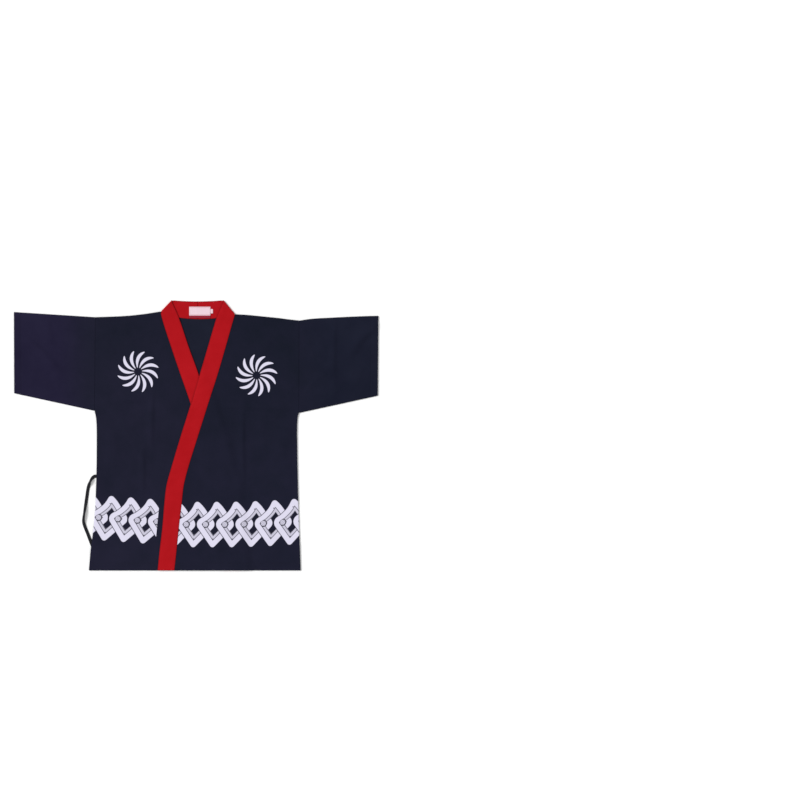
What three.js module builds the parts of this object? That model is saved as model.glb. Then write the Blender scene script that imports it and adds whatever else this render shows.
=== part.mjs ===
import * as THREE from 'three';

// A wrap-front chef jacket of the Japanese happi kind, laid flat on its back with the left front over
// the right one. Millimetres: X runs to the wearer's left, Y from the hem to the collar and Z up from
// the surface that the jacket lies on.

// Cloth
const clothThickness = 1.4;
const bandThickness = 2.6; // the collar band is doubled and stiffened
const labelThickness = 1.0;
const seamGap = 0.3; // between two layers, and from edge to edge at a seam
const armholeGap = 0.5; // the sleeve follows the armhole's curve in straight steps

// Length and span
const jacketLength = 755;
const cuffSpan = 1020;
const hemY = -jacketLength / 2;
const collarTopY = jacketLength / 2;

// Neck and collar: where the band folds over, from its seam on the neck to its free edge
const rightFold = { seamX: -99.8, seamY: 346.6, freeX: -69.9, freeY: collarTopY };
const leftFold = { seamX: 108.8, seamY: 338.8, freeX: 75.2, freeY: collarTopY };
const collarEdgeY = 376.6; // the band's free edge behind the neck, beside the folds
const collarTopDip = 3.2; // and how far it dips between them
const bandJoinX = 4.6; // the seam of the band's two halves behind the neck, under the label

// The neck seam behind, as x positions that the back and the band share
const neckStations = [-97.8, -80, -62, -44, -27, -11, bandJoinX, 24, 44, 64, 86, 106.7];

// Top edge of the back: shoulders and neck
const topEdge = [
  { x: -282.4, y: 330.7 },
  { x: -239.0, y: 332.2 },
  { x: -194.2, y: 334.5 },
  { x: -149.4, y: 339.2 },
  { x: -99.8, y: 346.6 },
  { x: -97.8, y: 344.5 },
  { x: -73.0, y: 335.2 },
  { x: -45.8, y: 328.7 },
  { x: 4.6, y: 325.1 },
  { x: 54.9, y: 327.3 },
  { x: 82.0, y: 331.2 },
  { x: 106.7, y: 336.8 },
  { x: 108.8, y: 338.8 },
  { x: 141.8, y: 337.1 },
  { x: 186.6, y: 332.7 },
  { x: 231.4, y: 328.2 },
  { x: 253.8, y: 325.2 },
  { x: 288.8, y: 321.2 },
];

// Side edges of the body: hem to armpit, then up the armhole seams
const sides = [
  { y: hemY, left: -301.0, right: 292.6 },
  { y: -315, left: -295.0, right: 290.6 },
  { y: -282, left: -290.2, right: 289.4 },
  { y: -235, left: -285.3, right: 287.8 },
  { y: -186, left: -281.8, right: 286.3 },
  { y: -91, left: -278.7, right: 284.2 },
  { y: 9, left: -278.0, right: 282.8 },
  { y: 32, left: -278.6, right: 283.2 },
  { y: 50, left: -280.2, right: 284.4 },
  { y: 62.6, left: -282.6, right: 287.4 },
  { y: 68.6, left: -283.8, right: 288.0 },
  { y: 200, left: -283.1, right: 288.4 },
  { y: 345, left: -282.4, right: 288.8 },
];

// Front bands, cut across at each height: the right one lies under the left one from the V down
const bands = [
  { y: 376, rightSeam: -104.1, rightFree: -69.4, leftFree: 75.0, leftSeam: 121.5 },
  { y: 331.5, rightSeam: -97.6, rightFree: -49.5, leftFree: 57.5, leftSeam: 106.3 },
  { y: 247.5, rightSeam: -70.4, rightFree: -20.3, leftFree: 31.2, leftSeam: 82.2 },
  { y: 180.3, rightSeam: -48.2, rightFree: 3.8, leftFree: 10.2, leftSeam: 62.8 },
  { y: 96.3, rightSeam: -19.2, rightFree: 30.6, leftFree: -13.6, leftSeam: 36.2 },
  { y: -4.5, rightSeam: 12.7, rightFree: 62.5, leftFree: -45.5, leftSeam: 4.3 },
  { y: -88.5, rightSeam: 38.7, rightFree: 87.4, leftFree: -70.4, leftSeam: -21.7 },
  { y: -138.9, rightSeam: 51.6, rightFree: 101.1, leftFree: -84.1, leftSeam: -34.6 },
  { y: -189.3, rightSeam: 57.7, rightFree: 106.7, leftFree: -89.7, leftSeam: -40.7 },
  { y: -256.5, rightSeam: 65.6, rightFree: 112.3, leftFree: -95.3, leftSeam: -48.6 },
  { y: -323.7, rightSeam: 72.3, rightFree: 120.2, leftFree: -103.2, leftSeam: -55.3 },
  { y: hemY, rightSeam: 78.2, rightFree: 125.5, leftFree: -108.5, leftSeam: -61.2 },
].reverse();

// Sleeves: the cuff's corners and the folded top edge from the armhole (0) to the cuff (1)
const rightCuff = { topX: -cuffSpan / 2, topY: 344.4, bottomX: -509.2, bottomY: 117.4 };
const leftCuff = { topX: cuffSpan / 2, topY: 334.3, bottomX: 508.3, bottomY: 110.8 };
const rightSleeveTop = [
  { along: 0, y: 330.7 },
  { along: 1, y: 344.4 },
];
const leftSleeveTop = [
  { along: 0, y: 321.2 },
  { along: 0.15, y: 325.6 },
  { along: 0.35, y: 328.2 },
  { along: 0.75, y: 332.6 },
  { along: 1, y: 334.3 },
];
const rightArmpitY = 68.6;
const leftArmpitY = 62.6;
const sleeveSwell = 1.6; // how far the upper layer stands off the lower one in mid-sleeve

// Rows of the body from hem to shoulder: closer over the tie's end, at the armpits and at the V
const rowGroups = [
  { to: -345, rows: 1 },
  { to: -261, rows: 7 },
  { to: -186, rows: 2 },
  { to: 9, rows: 6 },
  { to: 50, rows: 2 },
  { to: 62.6, rows: 1 },
  { to: 68.6, rows: 1 },
  { to: 260, rows: 8 },
  { to: 345, rows: 4 },
];
const shoulderEase = 260; // rows above this height bend to follow the shoulder
const sideColumns = [0, 6, 14, 24, 36, 54]; // distances in from the side seam

// Neck label with its size tab, sewn inside the collar
const label = { left: -20.9, right: 39.6, bottom: 328.4, top: 360.2 };
const sizeTab = { left: 39.9, right: 47.5, bottom: 341.4, top: 353.6 };

// The tie: a flat tape from the wearer's right side seam, its end under the jacket
const tieWidth = 9;
const tieThickness = 1.2;
const tieHeight = 0.7; // of its middle, above the surface
const tieSteps = 44;
const tieRoute = [
  { x: -280.1, y: -114.6 },
  { x: -286.8, y: -115.2 },
  { x: -294.8, y: -124.2 },
  { x: -300.9, y: -138.3 },
  { x: -304.5, y: -152.9 },
  { x: -306.9, y: -169.7 },
  { x: -309.3, y: -186.5 },
  { x: -311.8, y: -203.3 },
  { x: -314.4, y: -220.1 },
  { x: -316.3, y: -236.0 },
  { x: -315.2, y: -247.5 },
  { x: -310.5, y: -261.0 },
  { x: -303.9, y: -277.5 },
  { x: -297.2, y: -295.7 },
  { x: -290.5, y: -312.5 },
  { x: -285.5, y: -325.1 },
];

// Colours
const navy = { color: 0x20212f, roughness: 0.9, metalness: 0 };
const sleeveNavy = { color: 0x232236, roughness: 0.9, metalness: 0 };
const bandRed = { color: 0xb4181e, roughness: 0.8, metalness: 0 };
const labelWhite = { color: 0xf2dfe2, roughness: 0.7, metalness: 0 };
const tieBlack = { color: 0x232326, roughness: 0.85, metalness: 0 };

const mix = THREE.MathUtils.lerp;
const ease = (from, to, value) => THREE.MathUtils.smoothstep(value, from, to);

// A smooth curve through a table's rows, read as column `to` against column `from`.
function curveThrough(rows, from, to) {
  const slope = (i) => {
    const a = rows[Math.max(i - 1, 0)];
    const b = rows[Math.min(i + 1, rows.length - 1)];
    return (b[to] - a[to]) / (b[from] - a[from]);
  };
  return (at) => {
    const last = rows.length - 2;
    const found = rows.findIndex((row) => row[from] > at) - 1;
    const i = found < -1 ? last : Math.max(found, 0);
    const span = rows[i + 1][from] - rows[i][from];
    const t = THREE.MathUtils.clamp((at - rows[i][from]) / span, 0, 1);
    const start = rows[i][to];
    const rise = rows[i + 1][to] - start;
    const bendIn = t * (1 - t) * (1 - t) * (slope(i) * span - rise);
    const bendOut = t * t * (1 - t) * (rise - slope(i + 1) * span);
    return start + rise * t + bendIn + bendOut;
  };
}

const leftEdge = curveThrough(sides, 'y', 'left');
const rightEdge = curveThrough(sides, 'y', 'right');
const rightSeam = curveThrough(bands, 'y', 'rightSeam');
const rightFree = curveThrough(bands, 'y', 'rightFree');
const leftSeam = curveThrough(bands, 'y', 'leftSeam');
const leftFree = curveThrough(bands, 'y', 'leftFree');
const shoulderRight = curveThrough(topEdge.filter((p) => p.x <= rightFold.seamX), 'x', 'y');
const shoulderLeft = curveThrough(topEdge.filter((p) => p.x >= leftFold.seamX), 'x', 'y');
const neckCurve = curveThrough(
  topEdge.filter((p) => p.x > rightFold.seamX && p.x < leftFold.seamX), 'x', 'y');

function topOf(x) {
  if (x <= rightFold.seamX) return shoulderRight(x);
  if (x >= leftFold.seamX) return shoulderLeft(x);
  return neckCurve(x);
}

function bodyRows() {
  const rows = [hemY];
  for (const group of rowGroups) {
    const from = rows[rows.length - 1];
    for (let i = 1; i <= group.rows; i++) rows.push(mix(from, group.to, i / group.rows));
  }
  return rows;
}

// The height of a row at x, once the top rows have bent to the shoulder or the neck.
function rowHeight(row, x) {
  if (row <= shoulderEase) return row;
  const top = rowGroups[rowGroups.length - 1].to;
  return mix(shoulderEase, topOf(x) - seamGap, (row - shoulderEase) / (top - shoulderEase));
}

// Where a seam that runs down the front crosses a row.
function onSeam(row, seam, gap) {
  const y = rowHeight(row, seam(row));
  return new THREE.Vector2(seam(y) + gap, y);
}

// How far the cloth is lifted by the end of the tie beneath it.
function tieLift(x, y) {
  const [from, to] = [tieRoute[tieRoute.length - 4], tieRoute[tieRoute.length - 1]];
  const line = new THREE.Line3(new THREE.Vector3(from.x, from.y, 0), new THREE.Vector3(to.x, to.y, 0));
  const point = new THREE.Vector3(x, y, 0);
  const away = line.closestPointToPoint(point, true, new THREE.Vector3()).distanceTo(point);
  return (tieThickness + 2 * seamGap) * (1 - ease(tieWidth / 2 + 4, tieWidth / 2 + 32, away));
}

// How much of the collar's thickness lies under a point of the fronts, from 0 to 1.
function overCollar(x, y) {
  const sideways = ease(rightFold.seamX - 30, rightFold.seamX, x)
    * (1 - ease(leftFold.seamX, leftFold.seamX + 30, x));
  const seam = neckCurve(THREE.MathUtils.clamp(x, rightFold.seamX, leftFold.seamX));
  return sideways * ease(seam - 20, seam - 4, y);
}

function rightRest(x, y) {
  const collarStep = bandThickness - clothThickness;
  return clothThickness + seamGap + tieLift(x, y) + collarStep * overCollar(x, y);
}

// The left front rests on the back at its side, and on the right front and its band where they lap.
function leftRest(x, y) {
  const pastBand = x - rightFree(y);
  const shortOfBand = rightSeam(y) - x;
  const bandStep = bandThickness - clothThickness;
  const lapped = 1 - ease(12, 38, pastBand);
  const overPanelOnly = ease(9, 33, shortOfBand);
  const raised = bandThickness + seamGap - bandStep * overPanelOnly;
  return clothThickness + seamGap + raised * lapped + bandStep * overCollar(x, y);
}

// A closed solid of cloth from rows of points, each with its inner and outer face. A tube's rows close
// on themselves.
function clothSolid(rows, isTube = false) {
  const across = rows[0].length;
  const positions = rows.flat().flatMap((p) => [...p.outer.toArray(), ...p.inner.toArray()]);
  const index = [];
  const outer = (i, j) => 2 * (i * across + (j % across));
  const inner = (i, j) => outer(i, j) + 1;
  const quad = (a, b, c, d) => index.push(a, b, c, a, c, d);
  const spans = isTube ? across : across - 1;
  for (let i = 0; i < rows.length - 1; i++) {
    for (let j = 0; j < spans; j++) {
      quad(outer(i, j), outer(i, j + 1), outer(i + 1, j + 1), outer(i + 1, j));
      quad(inner(i, j), inner(i + 1, j), inner(i + 1, j + 1), inner(i, j + 1));
    }
    if (!isTube) {
      quad(outer(i, 0), outer(i + 1, 0), inner(i + 1, 0), inner(i, 0));
      quad(outer(i, spans), inner(i, spans), inner(i + 1, spans), outer(i + 1, spans));
    }
  }
  const end = rows.length - 1;
  for (let j = 0; j < spans; j++) {
    quad(outer(0, j), inner(0, j), inner(0, j + 1), outer(0, j + 1));
    quad(outer(end, j), outer(end, j + 1), inner(end, j + 1), inner(end, j));
  }
  const geometry = new THREE.BufferGeometry();
  geometry.setAttribute('position', new THREE.Float32BufferAttribute(positions, 3));
  geometry.setIndex(volumeOf(positions, index) < 0 ? index.reverse() : index);
  geometry.computeVertexNormals();
  return geometry;
}

function volumeOf(positions, index) {
  const corner = (i) => new THREE.Vector3().fromArray(positions, 3 * index[i]);
  let volume = 0;
  for (let i = 0; i < index.length; i += 3) {
    volume += corner(i).dot(corner(i + 1).cross(corner(i + 2))) / 6;
  }
  return volume;
}

function layer(x, y, bottom, thickness) {
  return { inner: new THREE.Vector3(x, y, bottom), outer: new THREE.Vector3(x, y, bottom + thickness) };
}

function makeMesh(name, geometry, finish) {
  const mesh = new THREE.Mesh(geometry, new THREE.MeshStandardMaterial(finish));
  mesh.name = name;
  return mesh;
}

// Evenly spaced values after `from`, up to and including `to`.
function spread(from, to, count) {
  return Array.from({ length: count }, (_, i) => mix(from, to, (i + 1) / count));
}

function makeBack() {
  const rows = bodyRows().map((row) => {
    const left = leftEdge(row);
    const right = rightEdge(row);
    const inset = left + sideColumns[sideColumns.length - 1];
    const columns = [
      ...sideColumns.map((distance) => left + distance),
      ...spread(inset, rightFold.seamX, 3),
      ...neckStations,
      leftFold.seamX,
      ...spread(leftFold.seamX, right, 5),
    ];
    return columns.map((x) => layer(x, rowHeight(row, x), tieLift(x, row), clothThickness));
  });
  return makeMesh('back', clothSolid(rows), navy);
}

function makeRightFront() {
  const rows = bodyRows().map((row) => {
    const left = leftEdge(row);
    const seam = onSeam(row, rightSeam, -seamGap);
    const inset = left + sideColumns[sideColumns.length - 1];
    const columns = [...sideColumns.map((distance) => left + distance), ...spread(inset, seam.x, 6)];
    return columns.map((x) => {
      const y = rowHeight(row, x);
      return layer(x, y, rightRest(x, y), clothThickness);
    });
  });
  return makeMesh('right_front', clothSolid(rows), navy);
}

// A column of the left front follows the edge of the band beneath it, where the cloth steps down.
function makeLeftFront() {
  const rows = bodyRows().map((row) => {
    const right = rightEdge(row);
    const seam = onSeam(row, leftSeam, seamGap);
    const stepTop = Math.max(rightFree(row) + 12, seam.x + 22);
    const stepBottom = stepTop + 26;
    const columns = [
      seam.x,
      ...spread(seam.x, stepTop, 6),
      ...spread(stepTop, stepBottom, 4),
      ...spread(stepBottom, right, 6),
    ];
    return columns.map((x) => {
      const y = rowHeight(row, x);
      return layer(x, y, leftRest(x, y), clothThickness);
    });
  });
  return makeMesh('left_front', clothSolid(rows), navy);
}

// One sleeve: a tube pressed flat, folded along the top and seamed below, open at the cuff and at the
// armhole. `side` is -1 on the wearer's right and 1 on the left.
function makeSleeve(name, side, cuff, topTable, armpitY) {
  const outerRadius = clothThickness + seamGap / 2;
  const armhole = side < 0 ? leftEdge : rightEdge;
  const topLine = curveThrough(topTable, 'along', 'y');
  const rings = [];
  for (const along of [0, 0.08, 0.2, 0.35, 0.5, 0.65, 0.8, 0.92, 1]) {
    const low = mix(armpitY, cuff.bottomY, along) + outerRadius;
    const high = topLine(along) - outerRadius;
    const xAt = (y) => mix(armhole(Math.min(y, topTable[0].y)) + side * armholeGap,
      mix(cuff.bottomX, cuff.topX, (y - low) / (high - low)), along);
    const swell = (share) => sleeveSwell * Math.sin(Math.PI * share) * Math.sin(Math.PI * along) ** 0.7;
    const point = (y, aside, up, raise = 0) => ({
      outer: new THREE.Vector3(xAt(y), y + aside * outerRadius, outerRadius + up * outerRadius + raise),
      inner: new THREE.Vector3(
        xAt(y), y + aside * seamGap / 2, outerRadius + up * seamGap / 2 + raise),
    });
    const ring = [];
    for (let i = 0; i <= 8; i++) ring.push(point(mix(low, high, i / 8), 0, 1, swell(i / 8)));
    for (const turn of [45, 90, 135]) {
      const angle = THREE.MathUtils.degToRad(turn);
      ring.push(point(high, Math.sin(angle), Math.cos(angle)));
    }
    for (let i = 0; i <= 6; i++) ring.push(point(mix(high, low, i / 6), 0, -1));
    for (const turn of [45, 90, 135]) {
      const angle = THREE.MathUtils.degToRad(turn);
      ring.push(point(low, -Math.sin(angle), -Math.cos(angle)));
    }
    rings.push(ring);
  }
  return makeMesh(name, clothSolid(rings, true), sleeveNavy);
}

// Half of the collar band: behind the neck it lies outer face down, at the shoulder it folds over, and
// its front strip runs down to the hem with its outer face up.
function makeBand(name, fold, joinX, stations, seamAt, freeAt, rest) {
  const widths = [0, 0.25, 0.5, 0.75, 1];
  const foldRadius = bandThickness + seamGap / 2;
  const seamEnd = new THREE.Vector3(fold.seamX, fold.seamY, 0);
  const freeEnd = new THREE.Vector3(fold.freeX, fold.freeY, 0);
  const alongFold = freeEnd.clone().sub(seamEnd).normalize();
  const outward = new THREE.Vector3(-alongFold.y, alongFold.x, 0);
  outward.multiplyScalar(Math.sign(fold.seamX) * Math.sign(outward.x));
  seamEnd.addScaledVector(outward, -foldRadius);
  freeEnd.addScaledVector(outward, -foldRadius);
  const sections = [];

  const backSpan = stations[stations.length - 1] - joinX;
  for (const x of stations.slice(0, -1)) {
    const share = (x - joinX) / backSpan;
    const seamPoint = new THREE.Vector2(x, neckCurve(x));
    const freeX = mix(joinX, freeEnd.x, share);
    const middle = (rightFold.freeX + leftFold.freeX) / 2;
    const reach = Math.min(Math.abs(freeX - middle) / Math.abs(freeEnd.x - middle), 1);
    const freePoint = new THREE.Vector2(freeX, collarEdgeY - collarTopDip * (1 - reach ** 2));
    sections.push(widths.map((width) => {
      const p = seamPoint.clone().lerp(freePoint, width);
      return { outer: new THREE.Vector3(p.x, p.y, 0), inner: new THREE.Vector3(p.x, p.y, bandThickness) };
    }));
  }

  for (const turn of [-90, -60, -30, 0, 30, 60, 90]) {
    const angle = THREE.MathUtils.degToRad(turn);
    const away = outward.clone().multiplyScalar(Math.cos(angle)).setZ(Math.sin(angle));
    const up = new THREE.Vector3(0, 0, foldRadius);
    sections.push(widths.map((width) => {
      const p = seamEnd.clone().lerp(freeEnd, width).add(up);
      return {
        outer: p.clone().addScaledVector(away, foldRadius),
        inner: p.clone().addScaledVector(away, seamGap / 2),
      };
    }));
  }

  const stretch = (freeEnd.y - shoulderEase) / (seamEnd.y - shoulderEase);
  for (const row of bodyRows().reverse().slice(1)) {
    const seam = onSeam(row, seamAt, 0);
    const freeY = seam.y > shoulderEase ? shoulderEase + (seam.y - shoulderEase) * stretch : seam.y;
    const free = new THREE.Vector2(freeAt(freeY), freeY);
    sections.push(widths.map((width) => {
      const p = seam.clone().lerp(free, width);
      return layer(p.x, p.y, rest(p.x, p.y), bandThickness);
    }));
  }
  return makeMesh(name, clothSolid(sections), bandRed);
}

function makeRightBand() {
  const stations = neckStations.filter((x) => x <= bandJoinX).reverse();
  return makeBand('collar_band_right', rightFold, bandJoinX, stations, rightSeam, rightFree, rightRest);
}

function makeLeftBand() {
  const start = bandJoinX + seamGap;
  const stations = [start, ...neckStations.filter((x) => x > bandJoinX)];
  return makeBand('collar_band_left', leftFold, start, stations, leftSeam, leftFree, leftRest);
}

// A flat piece on the collar's inner face.
function makeCollarPatch(name, box) {
  const bottom = bandThickness + seamGap;
  const rows = [box.bottom, box.top].map((y) =>
    [box.left, box.right].map((x) => layer(x, y, bottom, labelThickness)));
  return makeMesh(name, clothSolid(rows), labelWhite);
}

function makeTie() {
  const route = new THREE.CatmullRomCurve3(tieRoute.map((p) => new THREE.Vector3(p.x, p.y, tieHeight)));
  const [halfWidth, halfThickness] = [tieWidth / 2, tieThickness / 2];
  const bevel = tieThickness / 4;
  const section = new THREE.Shape([
    new THREE.Vector2(-halfThickness, -halfWidth + bevel),
    new THREE.Vector2(-halfThickness + bevel, -halfWidth),
    new THREE.Vector2(halfThickness - bevel, -halfWidth),
    new THREE.Vector2(halfThickness, -halfWidth + bevel),
    new THREE.Vector2(halfThickness, halfWidth - bevel),
    new THREE.Vector2(halfThickness - bevel, halfWidth),
    new THREE.Vector2(-halfThickness + bevel, halfWidth),
    new THREE.Vector2(-halfThickness, halfWidth - bevel),
  ]);
  const tape = { steps: tieSteps, bevelEnabled: false, extrudePath: route };
  return makeMesh('side_tie', new THREE.ExtrudeGeometry(section, tape), tieBlack);
}

const jacket = new THREE.Group();
jacket.name = 'chef_jacket';

const body = new THREE.Group();
body.add(makeBack(), makeRightFront(), makeLeftFront());
jacket.add(body);

const sleeves = new THREE.Group();
sleeves.add(makeSleeve('right_sleeve', -1, rightCuff, rightSleeveTop, rightArmpitY));
sleeves.add(makeSleeve('left_sleeve', 1, leftCuff, leftSleeveTop, leftArmpitY));
jacket.add(sleeves);

const collar = new THREE.Group();
collar.add(makeRightBand(), makeLeftBand());
collar.add(makeCollarPatch('neck_label', label), makeCollarPatch('size_tab', sizeTab));
jacket.add(collar);

jacket.add(makeTie());

export default jacket;
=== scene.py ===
# Happi-style chef jacket laid flat on a pale table and seen from straight above.
# Lengths in the tables are millimetres; every mesh is written in metres.
import math

import bpy
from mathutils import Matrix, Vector


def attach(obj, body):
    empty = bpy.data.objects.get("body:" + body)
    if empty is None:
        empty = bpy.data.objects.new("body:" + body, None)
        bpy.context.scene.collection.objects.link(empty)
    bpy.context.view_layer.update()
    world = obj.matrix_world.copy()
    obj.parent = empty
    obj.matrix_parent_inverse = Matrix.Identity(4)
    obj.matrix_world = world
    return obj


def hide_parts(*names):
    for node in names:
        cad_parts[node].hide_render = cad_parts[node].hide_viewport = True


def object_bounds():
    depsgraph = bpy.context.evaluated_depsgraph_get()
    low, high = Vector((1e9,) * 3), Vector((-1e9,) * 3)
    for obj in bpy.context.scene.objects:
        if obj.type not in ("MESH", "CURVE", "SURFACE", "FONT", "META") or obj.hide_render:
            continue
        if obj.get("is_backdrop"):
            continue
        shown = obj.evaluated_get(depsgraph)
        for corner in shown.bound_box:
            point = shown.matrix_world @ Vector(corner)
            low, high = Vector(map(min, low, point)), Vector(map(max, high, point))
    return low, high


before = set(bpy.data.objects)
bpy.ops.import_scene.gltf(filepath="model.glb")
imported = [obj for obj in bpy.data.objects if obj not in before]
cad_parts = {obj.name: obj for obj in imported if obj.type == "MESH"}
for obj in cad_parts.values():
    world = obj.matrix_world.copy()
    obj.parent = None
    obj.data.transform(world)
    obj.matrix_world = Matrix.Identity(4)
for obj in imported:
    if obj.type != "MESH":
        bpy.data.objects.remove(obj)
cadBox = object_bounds()
bpy.ops.object.select_all(action="DESELECT")
mm = 0.001


# Camera: straight overhead, the jacket on the left half of the picture
cameraSetup = {
    "overX": 0.570, "overY": 0.099,
    "height": 5.292,
    "lens": 85.0, "sensor": 36.0,
}


def addCamera():
    spot = (cameraSetup["overX"], cameraSetup["overY"], cameraSetup["height"])
    bpy.ops.object.camera_add(location=spot, rotation=(0, 0, 0))
    camera = bpy.context.object
    camera.name = "overheadCamera"
    camera.data.lens = cameraSetup["lens"]
    camera.data.sensor_width = cameraSetup["sensor"]
    bpy.context.scene.camera = camera


addCamera()
print("camera in place")


# Small number helpers
def clamp(value, low, high):
    return max(low, min(high, value))


def mix(a, b, share):
    return a + (b - a) * share


def ease(start, end, value):
    t = clamp((value - start) / (end - start), 0.0, 1.0)
    return t * t * (3 - 2 * t)


def spread(start, end, count):  # evenly spaced values after start, up to and including end
    return [mix(start, end, (i + 1) / count) for i in range(count)]


def bell(distance, width):
    return math.exp(-(distance / width) ** 2)


def curveThrough(rows, fromCol, toCol):  # smooth curve through a table's rows
    def slope(i):
        a, b = rows[max(i - 1, 0)], rows[min(i + 1, len(rows) - 1)]
        return (b[toCol] - a[toCol]) / (b[fromCol] - a[fromCol])

    slopes = [slope(i) for i in range(len(rows))]

    def at(value):
        i = 0
        while i < len(rows) - 2 and rows[i + 1][fromCol] <= value:
            i += 1
        span = rows[i + 1][fromCol] - rows[i][fromCol]
        t = clamp((value - rows[i][fromCol]) / span, 0.0, 1.0)
        start = rows[i][toCol]
        rise = rows[i + 1][toCol] - start
        bendIn = t * (1 - t) * (1 - t) * (slopes[i] * span - rise)
        bendOut = t * t * (1 - t) * (rise - slopes[i + 1] * span)
        return start + rise * t + bendIn + bendOut
    return at


# Cut of the jacket
cloth = {"thickness": 1.4, "band": 2.6, "gap": 0.3, "seamGap": 0.03, "tuck": 0.1}
hemY, collarTopY = -378.3, 378.8
rightFold = {"seam": (-99.8, 346.6), "free": (-69.2, 378.8)}
leftFold = {"seam": (108.8, 338.8), "free": (76.0, 378.8)}
bandJoinX = 4.6  # the join behind the neck, under the label
neckEnds = (-97.8, 106.7)  # x of the neck seam's ends behind
collarEdgeY, collarTopDip = 378.1, 3.2
shoulderEase, topRow = 260.0, 345.0

topEdge = [  # x, y of the shoulders and the neck
    (-282.4, 330.7), (-239.0, 332.2), (-194.2, 334.5), (-149.4, 339.2), (-99.8, 346.6),
    (-97.8, 344.5), (-73.0, 335.2), (-45.8, 328.7), (4.6, 325.1), (54.9, 327.3),
    (82.0, 331.2), (106.7, 336.8), (108.8, 338.8), (141.8, 337.1), (186.6, 332.7),
    (231.4, 328.2), (253.8, 325.2), (288.8, 321.2),
]
sides = [  # y, then x of the wearer's right and left side seams
    (-377.5, -301.2, 291.6), (-315, -295.4, 289.5), (-282, -290.8, 288.2),
    (-235, -286.1, 286.6), (-186, -282.7, 285.1), (-91, -279.7, 282.9), (9, -279.0, 281.6),
    (32, -279.6, 282.0), (50, -281.2, 283.2), (62.6, -283.6, 286.3), (68.6, -284.8, 287.0),
    (200, -283.8, 287.6), (345, -282.8, 288.2),
]
bandEdges = [  # y, right band's seam and free edge, left band's free edge and seam
    (-377.5, 78.2, 125.5, -108.5, -61.2), (-323.7, 72.3, 120.2, -103.2, -55.3),
    (-256.5, 65.6, 112.3, -95.3, -48.6), (-189.3, 57.7, 106.7, -89.7, -40.7),
    (-138.9, 51.6, 101.1, -83.6, -34.6), (-88.5, 38.7, 87.4, -69.8, -21.9),
    (-4.5, 12.7, 62.5, -44.7, 4.3), (96.3, -19.2, 30.6, -13.0, 36.2),
    (180.3, -48.4, 3.4, 12.2, 62.8), (247.5, -71.1, -21.1, 31.7, 82.3),
    (331.5, -97.6, -49.5, 57.0, 106.3), (376, -104.1, -69.4, 75.0, 121.5),
]
rightEdge = curveThrough(sides, 0, 1)
leftEdge = curveThrough(sides, 0, 2)
rightSeam = curveThrough(bandEdges, 0, 1)
rightFree = curveThrough(bandEdges, 0, 2)
leftFree = curveThrough(bandEdges, 0, 3)
leftSeam = curveThrough(bandEdges, 0, 4)
shoulderRight = curveThrough([p for p in topEdge if p[0] <= rightFold["seam"][0]], 0, 1)
shoulderLeft = curveThrough([p for p in topEdge if p[0] >= leftFold["seam"][0]], 0, 1)
neckCurve = curveThrough(
    [p for p in topEdge if rightFold["seam"][0] < p[0] < leftFold["seam"][0]], 0, 1)


def topOf(x):
    if x <= rightFold["seam"][0]:
        return shoulderRight(x)
    if x >= leftFold["seam"][0]:
        return shoulderLeft(x)
    return neckCurve(x)


bodySteps = {  # rows stand close together at the hem's stitching and under the shoulder
    "fromHem": [0, 1.3, 3.2, 7, 12, 17, 18.6, 19.4, 20, 20.6, 21.4, 23, 27],
    "rows": 126, "shoulderRows": 18, "underShoulder": [341.5, 343.7],
}


def bodyRows():  # heights of the rows from hem to shoulder
    rows = [hemY + step for step in bodySteps["fromHem"]]
    rows += spread(rows[-1], shoulderEase, bodySteps["rows"])
    rows += spread(shoulderEase, bodySteps["underShoulder"][0], bodySteps["shoulderRows"])
    return rows + bodySteps["underShoulder"][1:] + [topRow]


def rowHeight(row, x):  # the top rows bend to the shoulder or the neck
    if row <= shoulderEase:
        return row
    return mix(shoulderEase, topOf(x) + cloth["tuck"], (row - shoulderEase) / (topRow - shoulderEase))


def onSeam(row, seam, gap):
    y = rowHeight(row, seam(row))
    return seam(y) + gap, y


# The tie: flat tape from the right side seam, its end tucked under the jacket
tie = {
    "width": 9.0, "thickness": 1.1, "height": 0.7, "clear": 0.12,
    "length": 0.228,  # in metres
    "rolls": [(24.0, 10.0, 42.0), (118.0, 24.0, 40.0)],  # along the tape, half length, degrees
    "room": 1.2, "slope": (4, 32),  # the cloth over its end: how high, and how far it slopes
}
tieRoute = [
    (-280.1, -114.6), (-286.8, -115.2), (-294.8, -124.2), (-300.9, -138.3), (-304.5, -152.9),
    (-306.9, -169.7), (-309.3, -186.5), (-311.8, -203.3), (-314.4, -220.1), (-316.3, -236.0),
    (-315.2, -247.5), (-310.5, -261.0), (-303.9, -277.5), (-297.2, -295.7), (-290.5, -312.5),
    (-285.5, -325.1),
]


def catmullPoints(route, steps):
    points = []
    for i in range(len(route) - 1):
        p0, p1 = Vector(route[max(i - 1, 0)]), Vector(route[i])
        p2, p3 = Vector(route[i + 1]), Vector(route[min(i + 2, len(route) - 1)])
        for k in range(steps):
            t = k / steps
            points.append(0.5 * (2 * p1 + (p2 - p0) * t + (2 * p0 - 5 * p1 + 4 * p2 - p3) * t * t
                                 + (3 * p1 - p0 - 3 * p2 + p3) * t ** 3))
    points.append(Vector(route[-1]))
    return points


def sweep(verts, faces, rings):  # joins rings of points into a tube with closed ends
    first, sides = len(verts), len(rings[0])
    verts += [point * mm for ring in rings for point in ring]
    for i in range(len(rings) - 1):
        for k in range(sides):
            a, b = first + i * sides + k, first + i * sides + (k + 1) % sides
            faces.append((a, b, b + sides, a + sides))
    faces.append(tuple(first + k for k in reversed(range(sides))))
    faces.append(tuple(len(verts) - sides + k for k in range(sides)))


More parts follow.
